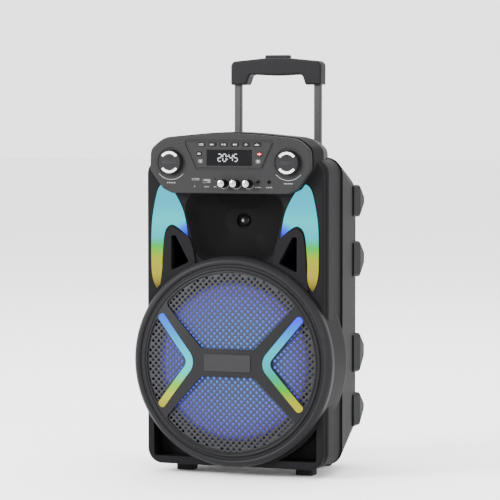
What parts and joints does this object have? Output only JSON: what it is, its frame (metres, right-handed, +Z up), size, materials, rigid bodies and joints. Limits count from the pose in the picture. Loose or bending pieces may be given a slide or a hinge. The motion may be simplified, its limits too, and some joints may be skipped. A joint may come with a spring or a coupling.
{
  "type": "party speaker",
  "caption": "Trolley party speaker with a domed X-braced round grille, lit fang and chevron strips, top control panel, telescopic handle, rear wheels and front feet.",
  "frame": {"origin": "centre of the bounding box's footprint on the floor, handle raised as at rest", "axes": "+X to the right seen from the front, +Y to the back, +Z up"},
  "size_m": [0.376, 0.312, 0.7515],
  "materials": {
    "black_shell": "fine moulded texture, black, satin",
    "panel_grey": "fine moulded texture, dark grey",
    "bezel_black": "semi-gloss black",
    "display_glass": "smoked clear window",
    "display_digits": "lit segments behind the window",
    "circuit_board": "green solder mask",
    "button_black": "satin black with printed white symbols",
    "button_grey": "satin light grey",
    "button_red": "satin black with a printed red symbol",
    "knob_black": "knurled black with white arcs on the face",
    "knob_chrome": "chrome cap on a black knurled skirt",
    "metal_can": "plated steel",
    "screw_steel": "blackened steel",
    "light_lens": "frosted diffuser lit from behind, cyan, blue, green and yellow",
    "brace_black": "fine moulded texture, black, satin",
    "plate_grey": "blank name plate, satin",
    "mesh_black": "perforated steel, black powder coat",
    "basket_black": "stamped steel, black",
    "magnet_grey": "ferrite ring between steel plates",
    "cone_paper": "pulp cone, ribbed",
    "copper_coil": "enamelled copper wire on a former",
    "surround_rubber": "soft roll",
    "spider_fabric": "corrugated treated cloth",
    "tweeter_metal": "plated steel and ferrite",
    "dome_silver": "moulded dome with a pale tip",
    "heat_sink_aluminium": "extruded, natural",
    "battery_case": "black sealed case",
    "rubber_feet": "moulded rubber",
    "wheel_tyre": "hard rubber tread on a plastic hub",
    "axle_steel": "ground steel",
    "handle_metal": "satin black tube",
    "grip_plastic": "moulded, satin black",
    "spring_steel": "spring wire"
  },
  "bodies": {
    "cabinet": {"front_cabinet": "black_shell", "rear_shell": "black_shell", "control_panel": "panel_grey", "panel_bezel": "bezel_black", "display_window": "display_glass", "display_module": "display_digits", "control_board": "circuit_board", "potentiometers": "metal_can", "media_sockets": "metal_can", "aux_socket": "button_black", "dc_socket": "button_black", "panel_screws": "screw_steel", "cabinet_screws": "screw_steel", "left_light_lens": "light_lens", "right_light_lens": "light_lens", "left_chevron_lens": "light_lens", "right_chevron_lens": "light_lens", "light_boards": "circuit_board", "light_ring": "light_lens", "port_tubes": "black_shell", "tweeter": "tweeter_metal", "tweeter_dome": "dome_silver", "grille_frame": "brace_black", "name_plate": "plate_grey", "grille_mesh": "mesh_black", "woofer_basket": "basket_black", "woofer_magnet": "magnet_grey", "surround": "surround_rubber", "spider": "spider_fabric", "amplifier_board": "circuit_board", "heat_sink": "heat_sink_aluminium", "battery": "battery_case", "front_feet": "rubber_feet", "wheel_axles": "axle_steel", "handle_sleeves": "handle_metal"},
    "handle": {"handle_tubes": "handle_metal", "handle_grip": "grip_plastic", "release_spring": "spring_steel"},
    "release": {"release_button": "grip_plastic", "push_rods": "spring_steel"},
    "latch": {"lock_pins": "axle_steel"},
    "left_wheel": {"left_wheel": "wheel_tyre"},
    "right_wheel": {"right_wheel": "wheel_tyre"},
    "cone": {"woofer_cone": "cone_paper", "voice_coil": "copper_coil"},
    "mode_button": {"mode_button": "button_black"},
    "previous_button": {"previous_button": "button_black"},
    "play_button": {"play_button": "button_black"},
    "next_button": {"next_button": "button_black"},
    "repeat_button": {"repeat_button": "button_black"},
    "tone_button": {"tone_button": "button_black"},
    "menu_button": {"menu_button": "button_black"},
    "input_button": {"input_button": "button_grey"},
    "record_button": {"record_button": "button_red"},
    "light_button": {"light_button": "button_grey"},
    "mic_volume_knob": {"mic_volume_knob": "knob_black"},
    "volume_knob": {"volume_knob": "knob_black"},
    "echo_knob": {"echo_knob": "knob_chrome"},
    "treble_knob": {"treble_knob": "knob_chrome"},
    "bass_knob": {"bass_knob": "knob_chrome"}
  },
  "joints": [
    {"name": "handle_slide", "type": "slide", "parent": "cabinet", "child": "handle", "axis": [0, 0, 1], "range_m": [-0.128, 0.3]},
    {"name": "release_press", "type": "slide", "parent": "handle", "child": "release", "axis": [0, 0, -1], "range_m": [0, 0.0035], "stiffness_N_per_m": 1500, "springref_m": -0.003, "deforming": ["release_spring"]},
    {"name": "latch_slide", "type": "slide", "parent": "handle", "child": "latch", "axis": [0, -1, 0], "range_m": [0, 0.0026]},
    {"name": "cone_travel", "type": "slide", "parent": "cabinet", "child": "cone", "axis": [0, -1, 0], "range_m": [-0.004, 0.004], "stiffness_N_per_m": 2500, "deforming": ["surround", "spider"]},
    {"name": "left_wheel_spin", "type": "hinge", "parent": "cabinet", "child": "left_wheel", "pos_m": [-0.104, 0.078, 0.03], "axis": [1, 0, 0], "continuous": true},
    {"name": "right_wheel_spin", "type": "hinge", "parent": "cabinet", "child": "right_wheel", "pos_m": [0.104, 0.078, 0.03], "axis": [1, 0, 0], "continuous": true},
    {"name": "mic_volume_knob_turn", "type": "hinge", "parent": "cabinet", "child": "mic_volume_knob", "pos_m": [-0.111, -0.138, 0.558], "axis": [0, 1, 0], "range_deg": [-150, 150]},
    {"name": "volume_knob_turn", "type": "hinge", "parent": "cabinet", "child": "volume_knob", "pos_m": [0.111, -0.138, 0.558], "axis": [0, 1, 0], "range_deg": [-150, 150]},
    {"name": "echo_knob_turn", "type": "hinge", "parent": "cabinet", "child": "echo_knob", "pos_m": [-0.0095, -0.138, 0.521], "axis": [0, 1, 0], "range_deg": [-140, 140]},
    {"name": "treble_knob_turn", "type": "hinge", "parent": "cabinet", "child": "treble_knob", "pos_m": [0.0133, -0.138, 0.521], "axis": [0, 1, 0], "range_deg": [-140, 140]},
    {"name": "bass_knob_turn", "type": "hinge", "parent": "cabinet", "child": "bass_knob", "pos_m": [0.0371, -0.138, 0.521], "axis": [0, 1, 0], "range_deg": [-140, 140]},
    {"name": "mode_button_press", "type": "slide", "parent": "cabinet", "child": "mode_button", "axis": [0, 1, 0], "range_m": [0, 0.0008], "stiffness_N_per_m": 400, "springref_m": -0.0005},
    {"name": "previous_button_press", "type": "slide", "parent": "cabinet", "child": "previous_button", "axis": [0, 1, 0], "range_m": [0, 0.0008], "stiffness_N_per_m": 400, "springref_m": -0.0005},
    {"name": "play_button_press", "type": "slide", "parent": "cabinet", "child": "play_button", "axis": [0, 1, 0], "range_m": [0, 0.0008], "stiffness_N_per_m": 400, "springref_m": -0.0005},
    {"name": "next_button_press", "type": "slide", "parent": "cabinet", "child": "next_button", "axis": [0, 1, 0], "range_m": [0, 0.0008], "stiffness_N_per_m": 400, "springref_m": -0.0005},
    {"name": "repeat_button_press", "type": "slide", "parent": "cabinet", "child": "repeat_button", "axis": [0, 1, 0], "range_m": [0, 0.0008], "stiffness_N_per_m": 400, "springref_m": -0.0005},
    {"name": "tone_button_press", "type": "slide", "parent": "cabinet", "child": "tone_button", "axis": [0, 1, 0], "range_m": [0, 0.0008], "stiffness_N_per_m": 400, "springref_m": -0.0005},
    {"name": "menu_button_press", "type": "slide", "parent": "cabinet", "child": "menu_button", "axis": [0, 1, 0], "range_m": [0, 0.0008], "stiffness_N_per_m": 400, "springref_m": -0.0005},
    {"name": "input_button_press", "type": "slide", "parent": "cabinet", "child": "input_button", "axis": [0, 1, 0], "range_m": [0, 0.0008], "stiffness_N_per_m": 400, "springref_m": -0.0005},
    {"name": "record_button_press", "type": "slide", "parent": "cabinet", "child": "record_button", "axis": [0, 1, 0], "range_m": [0, 0.0008], "stiffness_N_per_m": 400, "springref_m": -0.0005},
    {"name": "light_button_press", "type": "slide", "parent": "cabinet", "child": "light_button", "axis": [0, 1, 0], "range_m": [0, 0.0008], "stiffness_N_per_m": 400, "springref_m": -0.0005}
  ],
  "couplings": [
    {"joint": "latch_slide", "follows": "release_press", "ratio": 0.7}
  ]
}
